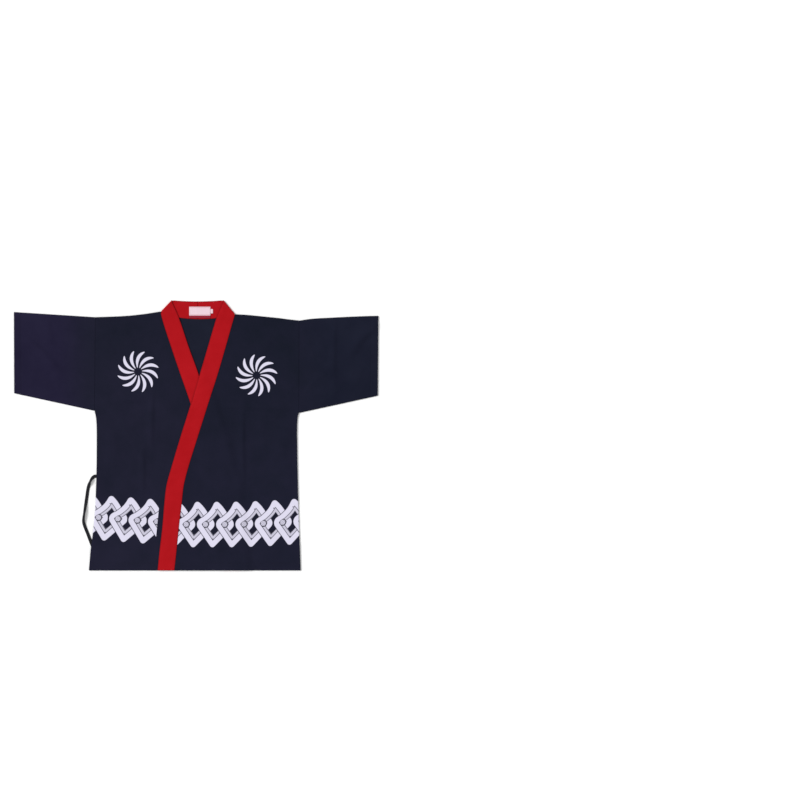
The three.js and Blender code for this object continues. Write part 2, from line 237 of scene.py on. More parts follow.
def makeTie():
    line = catmullPoints(tieRoute, 6)
    halfWidth, halfThick = tie["width"] / 2, tie["thickness"] / 2
    profile = [(1.0, 0.0), (0.985, 0.55), (0.94, 0.9), (0.6, 1.0), (0.2, 0.93), (-0.2, 0.93),
               (-0.6, 1.0), (-0.94, 0.9), (-0.985, 0.55)]
    profile += [(-1.0, 0.0)] + [(a, -b) for a, b in reversed(profile[1:])]
    rings, uvs, centres, run = [], [], [], 0.0
    for i, point in enumerate(line):
        before, after = line[max(i - 1, 0)], line[min(i + 1, len(line) - 1)]
        if i:
            run += (point - before).length
        along = (after - before).normalized()
        across = Vector((-along.y, along.x, 0))
        roll = sum(math.radians(r[2]) * bell(run - r[0], r[1]) for r in tie["rolls"])
        side = across * math.cos(roll) + Vector((0, 0, math.sin(roll)))
        face = Vector((0, 0, math.cos(roll))) - across * math.sin(roll)
        lift = halfWidth * abs(math.sin(roll)) + halfThick * math.cos(roll) + tie["clear"]
        centre = Vector((point.x, point.y, max(tie["height"], lift)))
        centres.append(centre * mm)
        rings.append([centre + side * (a * halfWidth) + face * (b * halfThick) for a, b in profile])
        uvs += [(run * mm, a * halfWidth * mm) for a, _ in profile]
    verts, faces = [], []
    sweep(verts, faces, rings)
    return meshObject("tie_tape", verts, faces, uvs), centres


def meshObject(name, verts, faces, uvs, slots=None):
    mesh = bpy.data.meshes.new(name)
    mesh.from_pydata([tuple(v) for v in verts], [], faces)
    layer = mesh.uv_layers.new(name="clothUV")
    for loop in mesh.loops:
        layer.data[loop.index].uv = uvs[loop.vertex_index]
    mesh.polygons.foreach_set("use_smooth", [True] * len(faces))
    if slots:
        mesh.polygons.foreach_set("material_index", slots)
    mesh.validate()
    piece = bpy.data.objects.new(name, mesh)
    bpy.context.scene.collection.objects.link(piece)
    return piece


tieTape, tieCentres = makeTie()
print("tie laid")


# Where the cloth rests, and the soft folds in it
wholeFolds = [  # lift the whole stack off the table: from, to, bow, height, width
    ((-262, 52), (-206, -62), 9, 1.7, 19), ((-244, 74), (-168, 18), -7, 1.1, 15),
    ((266, 48), (214, -74), -8, 1.6, 20), ((248, 70), (176, 22), 6, 1.0, 16),
    ((-214, -372), (-196, -262), 6, 1.3, 24), ((-150, -368), (-162, -296), -4, 0.8, 17),
    ((196, -372), (172, -250), -7, 1.4, 26), ((252, -366), (258, -290), 3, 0.8, 15),
    ((-40, -374), (-24, -312), 4, 0.9, 22), ((-250, 300), (-236, 196), 5, 0.9, 20),
    ((252, 296), (236, 182), -6, 1.0, 21), ((-330, 262), (-392, 196), 8, 1.2, 20),
    ((-318, 118), (-402, 150), -6, 1.0, 15), ((330, 254), (396, 186), -9, 1.2, 21),
    ((320, 112), (410, 148), 6, 1.1, 15), ((470, 300), (448, 214), 4, 0.8, 17),
    ((-474, 306), (-452, 232), -4, 0.7, 16), ((-60, 250), (40, 232), 7, 0.6, 18),
    ((-120, 40), (-96, -70), 6, 0.8, 22), ((120, 20), (150, -110), -8, 0.9, 24),
]
frontFolds = [  # lift only the fronts and their bands; the first three are where it was packed
    ((-122, 118), (-125, -44), 2, 2.6, 6.5), ((-150, -34), (-152, -172), -2, 2.4, 6.0),
    ((131, 72), (132, -152), 2, 2.8, 6.5), ((266, 75), (24, 80), 3, 1.8, 8),
    ((-112, 103), (-274, 98), -3, 1.6, 8), ((-206, 296), (-132, 214), 8, 1.1, 15),
    ((210, 288), (142, 198), -8, 1.2, 16), ((-232, 20), (-218, -128), 7, 1.1, 18),
    ((236, -20), (248, -176), -6, 1.2, 17), ((70, 40), (108, -92), -5, 1.0, 14),
    ((-92, 118), (-58, 12), 5, 0.8, 14), ((-196, -196), (-186, -318), 4, 0.8, 16),
    ((44, -232), (60, -352), -4, 0.7, 15), ((226, -250), (214, -352), 5, 0.8, 17),
    ((184, 60), (190, -40), 3, 0.7, 9), ((-206, 60), (-196, -60), -3, 0.6, 9),
]
rightSleeveFolds = [  # upper layer of the sleeve only
    ((-494, 282), (-372, 158), -10, 3.8, 9), ((-416, 326), (-398, 236), 4, 1.1, 8),
    ((-312, 292), (-352, 176), 8, 1.2, 14), ((-300, 132), (-372, 168), -6, 1.1, 10),
    ((-470, 178), (-402, 140), 3, 1.0, 9),
]
leftSleeveFolds = [
    ((512, 312), (418, 204), 9, 3.0, 10), ((388, 316), (386, 128), 3, 2.0, 6.5),
    ((304, 122), (404, 212), -6, 1.6, 9), ((332, 300), (352, 214), -6, 1.0, 12),
    ((470, 200), (446, 130), 4, 1.0, 11),
]
foldShape = {
    "pastEnds": 0.12, "fullBy": 0.3, "fadesFrom": 0.62,  # shares of a fold's length
    "startWidth": 0.8, "endWidth": 1.2, "steepSide": 0.9, "longSide": 1.9, "cutOff": 2.6,
    "clearOfSeams": 26,
}
unevenness = {"broad": 0.16, "fine": 0.05}
pucker = {"height": 0.11, "mean": 1.6, "reach": 11.0, "clear": 2.5}
steps = {  # distances over which the cloth steps down from what lies beneath it
    "collarSide": 30, "collarSeam": (20, 4), "bandEdge": (12, 38), "panelEdge": (9, 33),
}


def foldHeight(x, y, folds):
    height = 0.0
    before, after = -foldShape["pastEnds"], 1 + foldShape["pastEnds"]
    for start, end, bow, high, width in folds:
        dx, dy = end[0] - start[0], end[1] - start[1]
        span = math.hypot(dx, dy)
        t = ((x - start[0]) * dx + (y - start[1]) * dy) / (span * span)
        if before < t < after:
            across = ((x - start[0]) * dy - (y - start[1]) * dx) / span - bow * 4 * t * (1 - t)
            reach = width * mix(foldShape["startWidth"], foldShape["endWidth"], t)
            reach *= foldShape["longSide"] if across > 0 else foldShape["steepSide"]
            if abs(across) < foldShape["cutOff"] * reach:
                ends = ease(before, foldShape["fullBy"], t) * (1 - ease(foldShape["fadesFrom"], after, t))
                height += high * ends * bell(across, reach)
    return height


def drift(x, y):  # broad, shallow unevenness of cloth that was pressed and laid by hand
    a = math.sin(x / 47.0 + 1.9 * math.sin(y / 83.0)) * math.sin(y / 61.0 + 1.3 * math.sin(x / 97.0))
    b = math.sin(x / 21.0 + y / 33.0 + 1.2 * math.sin(y / 29.0))
    return unevenness["broad"] * (1 + a) + unevenness["fine"] * (1 + b)


def wholeLift(x, y):
    return foldHeight(x, y, wholeFolds) + drift(x, y)


def puckers(along, away, reach=pucker["reach"]):  # short pulls along a seam
    pull = math.sin(along / 3.1 + 2.1 * math.sin(along / 17.0)) + 0.6 * math.sin(along / 1.9 + 0.7)
    fade = math.exp(-abs(away) / reach) * ease(0, pucker["clear"], abs(away))
    return pucker["height"] * (pucker["mean"] + pull) * fade


def frontLift(x, y):
    fromSide, fromTop = min(x - rightEdge(y), leftEdge(y) - x), topOf(x) - y
    clear = foldShape["clearOfSeams"]
    return foldHeight(x, y, frontFolds) * ease(0, clear, fromSide) * ease(0, clear, fromTop)


def tieLift(x, y):
    (ax, ay), (bx, by) = tieRoute[-4], tieRoute[-1]
    dx, dy = bx - ax, by - ay
    t = clamp(((x - ax) * dx + (y - ay) * dy) / (dx * dx + dy * dy), 0.0, 1.0)
    away = math.hypot(x - ax - dx * t, y - ay - dy * t) - tie["width"] / 2
    return (tie["room"] + 2 * cloth["gap"]) * (1 - ease(*tie["slope"], away))


def overCollar(x, y):
    (rightX, _), (leftX, _) = rightFold["seam"], leftFold["seam"]
    slope, (low, high) = steps["collarSide"], steps["collarSeam"]
    sideways = ease(rightX - slope, rightX, x) * (1 - ease(leftX, leftX + slope, x))
    seam = neckCurve(clamp(x, rightX, leftX))
    return sideways * ease(seam - low, seam - high, y)


def backRest(x, y):
    return tieLift(x, y) + wholeLift(x, y)


def rightRest(x, y):
    step = cloth["band"] - cloth["thickness"]
    rest = cloth["thickness"] + cloth["gap"] + tieLift(x, y) + step * overCollar(x, y)
    return rest + wholeLift(x, y) + frontLift(x, y)


def leftRest(x, y):
    step = cloth["band"] - cloth["thickness"]
    lapped = 1 - ease(*steps["bandEdge"], x - rightFree(y))
    overPanelOnly = ease(*steps["panelEdge"], rightSeam(y) - x)
    raised = cloth["band"] + cloth["gap"] - step * overPanelOnly
    rest = cloth["thickness"] + cloth["gap"] + raised * lapped + step * overCollar(x, y)
    return rest + wholeLift(x, y) + frontLift(x, y)


# A closed shell of cloth from rows of (outer, inner) points, its edges rounded
def clothShell(name, rows, roundness, isTube=False):
    lastRow, countCols = len(rows) - 1, len(rows[0])
    lastCol = countCols - 1
    verts, uvs, rim, faces, slots = [], [], {}, [], []

    def inward(i, j, face):  # an edge point moves in, to leave room for the round
        here = rows[i][j][face]
        move = Vector((0, 0, 0))
        if i in (0, lastRow):
            move += (rows[1 if i == 0 else lastRow - 1][j][face] - here).normalized()
        if not isTube and j in (0, lastCol):
            move += (rows[i][1 if j == 0 else lastCol - 1][face] - here).normalized()
        return here + move * roundness

    for i, row in enumerate(rows):
        for j, (_, _, uv) in enumerate(row):
            verts += [inward(i, j, 0) * mm, inward(i, j, 1) * mm]
            uvs += [uv, uv]
    for i, row in enumerate(rows):
        for j, (outer, inner, uv) in enumerate(row):
            if i in (0, lastRow) or (not isTube and j in (0, lastCol)):
                rim[i, j] = len(verts)
                verts.append((outer + inner) * 0.5 * mm)
                uvs.append(uv)

    def outerAt(i, j):
        return 2 * (i * countCols + j % countCols)

    def quad(slot, *corners):
        faces.append(corners)
        slots.append(slot)

    def edge(i, j, nextI, nextJ):  # from one edge place to the next, the cloth on the left
        a, b = outerAt(i, j), outerAt(nextI, nextJ)
        c, d = rim[nextI, nextJ % countCols], rim[i, j % countCols]
        quad(0, b, a, d, c)
        quad(1, c, d, a + 1, b + 1)

    spans = countCols if isTube else lastCol
    for i in range(lastRow):
        for j in range(spans):
            a, b = outerAt(i, j), outerAt(i, j + 1)
            c, d = outerAt(i + 1, j + 1), outerAt(i + 1, j)
            quad(0, a, b, c, d)
            quad(1, a + 1, d + 1, c + 1, b + 1)
        if not isTube:
            edge(i + 1, 0, i, 0)
            edge(i, lastCol, i + 1, lastCol)
    for j in range(spans):
        edge(0, j, 0, j + 1)
        edge(lastRow, j + 1, lastRow, j)

    volume = 0.0
    for face in faces:
        a, b, c, d = (verts[k] for k in face)
        volume += a.dot(b.cross(c)) + a.dot(c.cross(d))
    if volume < 0:
        faces = [tuple(reversed(face)) for face in faces]
    return meshObject(name, verts, faces, uvs, slots)


# Rows of stitches, noted as (face, other face) points while each piece is laid
stitchRoutes = {"hem": [], "cuff": [], "band": [], "label": []}

# Body panels
hem = {"stitchFrom": 20.0, "stitchDepth": 0.4, "stitchWidth": 0.9, "row": 8}
panel = {
    "roundness": 0.28, "sideSteps": [0, 1.3, 3.2, 6.5, 10, 14, 18], "seamSteps": [0, 1.3, 2.8, 5, 8],
    "rightPulls": ((40, 8), (0, 11)), "leftPulls": ((15, 11), (0, 8)),  # shift and reach at each edge
    "shoulderClear": 30,
    "backCounts": (32, 42, 30), "rightCount": 64, "leftCount": 70,  # columns between the edges
}


def stitchLine(distance):  # the dent that a row of stitches pulls into the cloth
    return hem["stitchDepth"] * bell(distance, hem["stitchWidth"])


def upright(x, y, high, low):  # two points, one straight over the other
    return Vector((x, y, high)), Vector((x, y, low))


def panelPoint(x, y, bottom, seamPull, outerUp):
    dent = stitchLine(y - hemY - hem["stitchFrom"])
    top = bottom + cloth["thickness"] - (dent if outerUp else 0) + seamPull
    high, low = upright(x, y, top, bottom + (0 if outerUp else dent))
    uv = (x * mm, y * mm)
    return (high, low, uv) if outerUp else (low, high, uv)


def columns(left, leftSteps, right, rightSteps, count):  # x places, close together at both edges
    xs = [left + step for step in leftSteps]
    xs += spread(left + leftSteps[-1], right - rightSteps[-1], count)
    return xs + [right - step for step in reversed(rightSteps[:-1])]


def backColumns(row):
    left, right = rightEdge(row) - cloth["tuck"], leftEdge(row) + cloth["tuck"]
    (neckLeft, neckRight), (toNeck, behindNeck, pastNeck) = neckEnds, panel["backCounts"]
    xs = columns(left, panel["sideSteps"], rightFold["seam"][0], [0], toNeck)
    xs += [neckLeft] + spread(neckLeft, neckRight, behindNeck)
    return xs + columns(leftFold["seam"][0], [0], right, panel["sideSteps"], pastNeck)


def rightColumns(row):
    seamX, _ = onSeam(row, rightSeam, cloth["tuck"])
    return columns(rightEdge(row), panel["sideSteps"], seamX, panel["seamSteps"], panel["rightCount"])


def leftColumns(row):
    seamX, _ = onSeam(row, leftSeam, -cloth["tuck"])
    return columns(seamX, panel["seamSteps"], leftEdge(row), panel["sideSteps"], panel["leftCount"])


def makePanel(name, columnsAt, restAt, pulls=None):
    rows = []
    for row in bodyRows():
        xs = columnsAt(row)
        points = []
        for x in xs:
            y = rowHeight(row, x)
            pull = 0
            if pulls:
                for (shift, reach), edge in zip(pulls, (xs[0], xs[-1])):
                    pull += puckers(y + shift, x - edge, reach)
                pull *= ease(0, panel["shoulderClear"], topOf(x) - y)
            points.append(panelPoint(x, y, restAt(x, y), pull, outerUp=pulls is not None))
        rows.append(points)
    stitchRoutes["hem"].append([point[:2] for point in rows[hem["row"]]])
    return clothShell(name, rows, panel["roundness"])


backPanel = makePanel("back_panel", backColumns, backRest)
rightPanel = makePanel("right_front_panel", rightColumns, rightRest, panel["rightPulls"])
leftPanel = makePanel("left_front_panel", leftColumns, leftRest, panel["leftPulls"])
print("body panels laid")


# Sleeves: tubes pressed flat, folded along the top and seamed below
rightSleeveCut = {
    "side": -1, "armpit": 68.6, "cuffTop": (-511.2, 345.4), "cuffBottom": (-510.4, 117.7),
    "top": [(0, 330.8), (1, 345.4)],
}
leftSleeveCut = {
    "side": 1, "armpit": 62.8, "cuffTop": (509.4, 334.8), "cuffBottom": (507.7, 111.0),
    "top": [(0, 321.4), (0.15, 326.2), (0.35, 329.0), (0.75, 333.2), (1, 334.8)],
}
sleeve = {
    "bodyX": 286, "swell": 1.6, "swellPower": 0.7, "stitchFrom": 20.0, "roundness": 0.25,
    "pucker": (9, 8),  # shift and reach
    "rows": 44, "cuffRows": 5, "upper": 40, "under": 32,  # how finely each stretch is divided
    "flatBy": 6, "seamShare": 0.08, "armholeShare": 0.12,  # where the folds die away
    "alongArmhole": [0, 0.006, 0.014, 0.028, 0.045], "beforeStitches": 0.02,
    "atStitches": [-0.008, -0.004, 0, 0.004, 0.008], "nearCuff": 0.98,
    "alongCuff": [0.9875, 0.994, 1], "overSeam": [0, 0.008, 0.02, 0.04, 0.065],
    "overFold": [0.96, 0.98, 0.992, 1], "turns": (0, 22, 45, 67, 90, 113, 135, 158),
}


def makeSleeve(name, cut, folds):
    radius, thin = cloth["thickness"] + cloth["gap"] / 2, cloth["gap"] / 2
    side = cut["side"]
    armhole = rightEdge if side < 0 else leftEdge
    topLine = curveThrough(cut["top"], 0, 1)
    length = abs(cut["cuffTop"][0]) - sleeve["bodyX"]
    stitchAt = 1 - sleeve["stitchFrom"] / length
    alongs = list(sleeve["alongArmhole"])
    alongs += spread(alongs[-1], stitchAt - sleeve["beforeStitches"], sleeve["rows"])
    alongs += [stitchAt + step for step in sleeve["atStitches"]]
    alongs += spread(alongs[-1], sleeve["nearCuff"], sleeve["cuffRows"]) + sleeve["alongCuff"]
    seamEdge, foldEdge = sleeve["overSeam"][-1], 1 - sleeve["overSeam"][-1]
    tops = sleeve["overSeam"] + spread(seamEdge, foldEdge, sleeve["upper"]) + sleeve["overFold"]
    turns = [math.radians(turn) for turn in sleeve["turns"]]
    flat, seamShare = sleeve["flatBy"], sleeve["seamShare"]
    lower = spread(0, 1, sleeve["under"])[:-1]
    rings = []
    for along in alongs:
        low = mix(cut["armpit"], cut["cuffBottom"][1], along) + radius
        high = topLine(along) - radius
        dent = stitchLine((along - stitchAt) * length)

        def point(y, aside, up, raised=0.0, dented=0.0):
            inset = cloth["seamGap"] + cloth["tuck"] * (1 - up) / 2
            cuffX = mix(cut["cuffBottom"][0], cut["cuffTop"][0], (y - low) / (high - low))
            x = mix(armhole(min(y, cut["top"][0][1])) + side * inset, cuffX, along)
            flatten = ease(0, flat, y - low) * ease(0, flat, high - y)
            z = radius + wholeLift(x, y + aside * radius) * flatten
            outer = Vector((x, y + aside * radius, z + up * (radius - dented) + raised))
            inner = Vector((x, y + aside * thin, z + up * thin + raised))
            return outer, inner, (x * mm, y * mm)

        ring = []
        for share in tops:
            y = mix(low, high, share)
            x = mix(sleeve["bodyX"] * side, cut["cuffTop"][0], along)
            shift, reach = sleeve["pucker"]
            edges = ease(0, seamShare, share) * ease(0, seamShare, 1 - share)
            edges *= ease(0, sleeve["armholeShare"], along)
            lift = sleeve["swell"] * math.sin(math.pi * share)
            lift *= math.sin(math.pi * along) ** sleeve["swellPower"]
            lift += (foldHeight(x, y, folds) + puckers(y + shift, along * length, reach)) * edges
            ring.append(point(y, 0, 1, lift, dent))
        ring += [point(high, math.sin(turn), math.cos(turn)) for turn in turns[1:]]
        ring += [point(mix(high, low, share), 0, -1, 0, dent / 2) for share in lower]
        ring += [point(low, -math.sin(turn), -math.cos(turn)) for turn in turns]
        rings.append(ring)
    seam = rings[alongs.index(stitchAt)]
    stitchRoutes["cuff"].append([place[:2] for place in seam + seam[:1]])
    return clothShell(name, rings, sleeve["roundness"], isTube=True)


rightSleeve = makeSleeve("right_sleeve_cloth", rightSleeveCut, rightSleeveFolds)
leftSleeve = makeSleeve("left_sleeve_cloth", leftSleeveCut, leftSleeveFolds)
print("sleeves laid")


# Collar band: outer face down behind the neck, folded over at the shoulder, face up on the front
band = {
    "width": 49.0, "roundness": 0.9,
    "across": [0, 0.026, 0.04, 0.05, 0.06, 0.085, 0.16, 0.3, 0.5, 0.7, 0.84, 0.915, 0.94, 0.95, 0.96,
               0.974, 1],  # shares of the width; the stitches run at the fourth from each edge
    "stitchShares": (0.05, 0.95), "stitchIn": 2.5, "stitchDepth": 0.35, "stitchWidth": 0.8,
    "edgeDrop": 0.25, "edgeReach": 1.4, "innerDip": 0.6,
    "flatFrom": 12, "flatOver": 24, "foldTurn": 15,  # turn in degrees
    "behind": 18, "lastRight": -92.0, "lastLeft": 101.0,  # sections behind the neck
}


def bandDip(share):  # how far the outer face drops at its edges and stitch lines
    fromEdge = min(share, 1 - share) * band["width"]
    dip = band["edgeDrop"] * math.exp(-fromEdge / band["edgeReach"])
    return dip + band["stitchDepth"] * bell(fromEdge - band["stitchIn"], band["stitchWidth"])


def collarLift(x, y):  # the table's unevenness, gone by the collar's top edge
    return wholeLift(x, y) * ease(0, band["flatOver"], collarTopY + band["flatFrom"] - y)


def makeBand(name, fold, joinX, stations, seamAt, freeAt, rest):
    radius, thick = cloth["band"] + cloth["gap"] / 2, cloth["band"]
    seamEnd, freeEnd = Vector((*fold["seam"], 0)), Vector((*fold["free"], 0))
    along = (freeEnd - seamEnd).normalized()
    outward = Vector((-along.y, along.x, 0))
    outward *= math.copysign(1, fold["seam"][0]) * math.copysign(1, outward.x)
    seamEnd -= outward * radius
    freeEnd -= outward * radius
    middle = (rightFold["free"][0] + leftFold["free"][0]) / 2
    backSpan = stations[-1] - joinX
    sections, run, previous = [], 0.0, None

    def addSection(places):  # places: (outer, inner) for each width
        nonlocal run, previous
        centre = (places[len(places) // 2][0] + places[len(places) // 2][1]) / 2
        if previous is not None:
            run += (centre - previous).length
        previous = centre
        sections.append([(outer, inner, (run * mm, share * band["width"] * mm))
                         for (outer, inner), share in zip(places, band["across"])])

    for x in stations[:-1]:
        freeX = mix(joinX, freeEnd.x, (x - joinX) / backSpan)
        reach = min(abs(freeX - middle) / abs(freeEnd.x - middle), 1)
        freeY = collarEdgeY - collarTopDip * (1 - reach ** 2)
        places = []
        for width in band["across"]:
            px, py = mix(x, freeX, width), mix(neckCurve(x), freeY, width)
            lift, dip = collarLift(px, py), bandDip(width)
            places.append(upright(px, py, lift + dip, lift + thick - dip * band["innerDip"]))
        addSection(places)
    for turn in range(-90, 91, band["foldTurn"]):
        angle = math.radians(turn)
        away = Vector((outward.x * math.cos(angle), outward.y * math.cos(angle), math.sin(angle)))
        places = []
        for width in band["across"]:
            p = seamEnd.lerp(freeEnd, width)
            p.z = radius + collarLift(p.x, p.y)
            places.append((p + away * (radius - bandDip(width)), p + away * (cloth["gap"] / 2)))
        addSection(places)
    stretch = (freeEnd.y - shoulderEase) / (seamEnd.y - shoulderEase)
    for row in list(reversed(bodyRows()))[2:]:
        seamX, seamY = onSeam(row, seamAt, 0)
        freeY = shoulderEase + (seamY - shoulderEase) * stretch if seamY > shoulderEase else seamY
        freeX = freeAt(freeY)
        places = []
        for width in band["across"]:
            px, py = mix(seamX, freeX, width), mix(seamY, freeY, width)
            z = rest(px, py)
            places.append(upright(px, py, z + thick - bandDip(width), z))
        addSection(places)
    for share in band["stitchShares"]:
        place = band["across"].index(share)
        behind = sections[:len(stations) - 1]
        stitchRoutes["band"].append([section[place][:2] for section in sections])
        stitchRoutes["band"].append([section[place][1::-1] for section in behind])
    return clothShell(name, sections, band["roundness"])


neckLeft, neckRight = neckEnds
rightStations = [bandJoinX] + spread(bandJoinX, band["lastRight"], band["behind"]) + [neckLeft]
leftStart = bandJoinX + cloth["seamGap"]
leftStations = [leftStart] + spread(leftStart, band["lastLeft"], band["behind"]) + [neckRight]
rightBand = makeBand("right_band", rightFold, bandJoinX, rightStations, rightSeam, rightFree, rightRest)
leftBand = makeBand("left_band", leftFold, leftStart, leftStations, leftSeam, leftFree, leftRest)
print("collar band laid")


# Neck label and size tab, left blank
labelCut = {"left": -20.2, "right": 39.2, "bottom": 328.4, "top": 360.2, "across": 40, "up": 22}
tabCut = {"left": 39.5, "right": 46.3, "bottom": 341.4, "top": 353.6, "across": 12, "up": 14}
patch = {"thickness": 0.7, "rest": 2.9, "wave": 0.12, "waveFree": 4, "roundness": 0.25}


def makePatch(name, cut, stitchRow=None):  # stitched up both ends from a row, and along the top
    rows = []
    for y in [cut["bottom"]] + spread(cut["bottom"], cut["top"], cut["up"]):
        points = []
        for x in [cut["left"]] + spread(cut["left"], cut["right"], cut["across"]):
            wave = patch["wave"] * (1 + math.sin(x / 6.3 + 0.8)) * (1 + 0.5 * math.sin(y / 4.1))
            wave *= ease(0, patch["waveFree"], min(x - cut["left"], cut["right"] - x))
            base = patch["rest"] + wholeLift(x, y) + wave
            points.append((*upright(x, y, base + patch["thickness"], base), (x * mm, y * mm)))
        rows.append(points)
    if stitchRow:
        ends = [[row[place][:2] for row in rows[stitchRow:-1]] for place in (2, -3)]
        stitchRoutes["label"] += ends + [[point[:2] for point in rows[-2][2:-2]]]
    return clothShell(name, rows, patch["roundness"])


neckLabel = makePatch("blank_neck_label", labelCut, stitchRow=6)
sizeTab = makePatch("blank_size_tab", tabCut)
print("label and tab laid")


# Thread: each stitch is a small bead of thread that dips into the cloth at both ends
thread = {
    "length": 2.5, "gap": 1.1, "sides": 5,
    "shape": [(0.0, -0.25, 0.16), (0.2, 0.08, 0.27), (0.5, 0.14, 0.29), (0.8, 0.08, 0.27),
              (1.0, -0.25, 0.16)],  # share of the length, height over the cloth, radius
}


def stitchPlaces(route):  # where each stitch starts and ends, as (point, way out of the cloth)
    lengths = [0.0]
    for (a, _), (b, _) in zip(route, route[1:]):
        lengths.append(lengths[-1] + (b - a).length)

    def at(distance):
        k = 0
        while k < len(lengths) - 2 and lengths[k + 1] < distance:
            k += 1
        t = (distance - lengths[k]) / max(lengths[k + 1] - lengths[k], 1e-6)
        (face, under), (nextFace, nextUnder) = route[k], route[k + 1]
        return face.lerp(nextFace, t), (face - under).lerp(nextFace - nextUnder, t).normalized()

    step = thread["length"] + thread["gap"]
    for k in range(int((lengths[-1] - thread["gap"]) / step)):
        start = thread["gap"] + k * step
        yield at(start), at(start + thread["length"])


def makeStitches(name, routes):
    verts, faces, uvs = [], [], []
    turns = [2 * math.pi * k / thread["sides"] for k in range(thread["sides"])]
    for route in routes:
        for (start, up), (end, upAtEnd) in stitchPlaces(route):
            across = (end - start).normalized().cross(up).normalized()
            rings = []
            for share, height, radius in thread["shape"]:
                centre = start.lerp(end, share) + up.lerp(upAtEnd, share) * height
                rings.append([centre + (across * math.cos(turn) + up * math.sin(turn)) * radius
                              for turn in turns])
                uvs += [(centre.x * mm, centre.y * mm)] * len(turns)
            sweep(verts, faces, rings)
    return meshObject(name, verts, faces, uvs)


tack = {"from": 2.2, "apart": 0.8, "halfLength": 3.2, "rows": 3}


def tackRoutes():  # short rows of stitches that hold the tie at the side seam
    (x, y), z = tieRoute[0], tie["height"] + tie["thickness"] / 2
    routes = []
    for k in range(tack["rows"]):
        ends = [(x - tack["from"] - tack["apart"] * k, y + side * tack["halfLength"]) for side in (-1, 1)]
        routes.append([upright(*end, z, 0) for end in ends])
    return routes


hemStitches = makeStitches("hem_stitches", stitchRoutes["hem"])
cuffStitches = makeStitches("cuff_stitches", stitchRoutes["cuff"])
bandStitches = makeStitches("band_stitches", stitchRoutes["band"])
labelStitches = makeStitches("label_stitches", stitchRoutes["label"])
tackStitches = makeStitches("tie_tack", tackRoutes())
print("stitches laid")


# Shader values: node maths is written as ordinary arithmetic
class Reading:  # a value that the shader works out at each point
    def __init__(self, socket):
        self.socket = socket

    def __add__(self, other):
        return calc("ADD", self, other)

    def __sub__(self, other):
        return calc("SUBTRACT", self, other)

    def __rsub__(self, other):
        return calc("SUBTRACT", other, self)

    def __mul__(self, other):
        return calc("MULTIPLY", self, other)

    def __truediv__(self, other):
        return calc("DIVIDE", self, other)

    def __pow__(self, other):
        return calc("POWER", self, other)


def give(socket, value):  # links a worked-out value to a socket, or sets a plain one
    if isinstance(value, Reading):
        socket.id_data.links.new(value.socket, socket)
    else:
        socket.default_value = value


def addNode(tree, kind, links, **settings):
    node = tree.nodes.new(kind)
    for key, value in settings.items():
        setattr(node, key, value)
    for key, value in links.items():
        give(node.inputs[key], value)
    return node


def reading(source, kind, links, output=0, **settings):  # a new node in the tree of a value
    node = addNode(source.socket.id_data, kind, links, **settings)
    return Reading(node.outputs[output])


def calc(operation, *values):
    source = next(value for value in values if isinstance(value, Reading))
    return reading(source, "ShaderNodeMath", dict(enumerate(values)), operation=operation)


def newMaterial(name):
    material = bpy.data.materials.new(name)
    material.use_nodes = True
    return material, material.node_tree.nodes["Principled BSDF"].inputs


def limited(value):
    return reading(value, "ShaderNodeClamp", {0: value})


def past(value, limit):  # 1 where value is over limit, with an edge a millimetre wide
    return limited(value + (0.5 - limit))


def smallest(*values):
    least = values[0]
    for value in values[1:]:
        least = calc("MINIMUM", least, value)
    return least


def axes(spot):  # x and y of a place
    node = addNode(spot.socket.id_data, "ShaderNodeSeparateXYZ", {0: spot})
    return Reading(node.outputs[0]), Reading(node.outputs[1])


def placed(spot, where, size=(1, 1), turn=0.0):  # x and y in mm from a place on the cloth
    return axes(reading(spot, "ShaderNodeMapping", {
        "Vector": spot, "Location": (where[0] * mm, where[1] * mm, 0),
        "Rotation": (0, 0, math.radians(turn)), "Scale": (size[0] * mm, size[1] * mm, 1),
    }, vector_type="TEXTURE"))


def distanceTo(x, y, centre):
    dx, dy = x - centre[0], y - centre[1]
    return calc("SQRT", dx * dx + dy * dy)


def linear(r, g, b):  # screen colour 0-255 to the shader's colour
    def one(c):
        c /= 255
        return c / 12.92 if c <= 0.04045 else ((c + 0.055) / 1.055) ** 2.4
    return (one(r), one(g), one(b), 1.0)


def mixColour(share, first, second):
    return reading(share, "ShaderNodeMix", {0: share, 6: first, 7: second}, 2, data_type="RGBA")


def makeGroup(name, inputs, outputs):
    tree = bpy.data.node_groups.new(name, "ShaderNodeTree")
    for direction, labels in (("INPUT", inputs), ("OUTPUT", outputs)):
        for label in labels:
            tree.interface.new_socket(label, in_out=direction, socket_type="NodeSocketFloat")
    source, sink = tree.nodes.new("NodeGroupInput"), tree.nodes.new("NodeGroupOutput")
    return tree, [Reading(source.outputs[label]) for label in inputs], sink


def useGroup(group, values, outputs):
    node = addNode(values["X"].socket.id_data, "ShaderNodeGroup", values, node_tree=group)
    return [Reading(node.outputs[label]) for label in outputs]


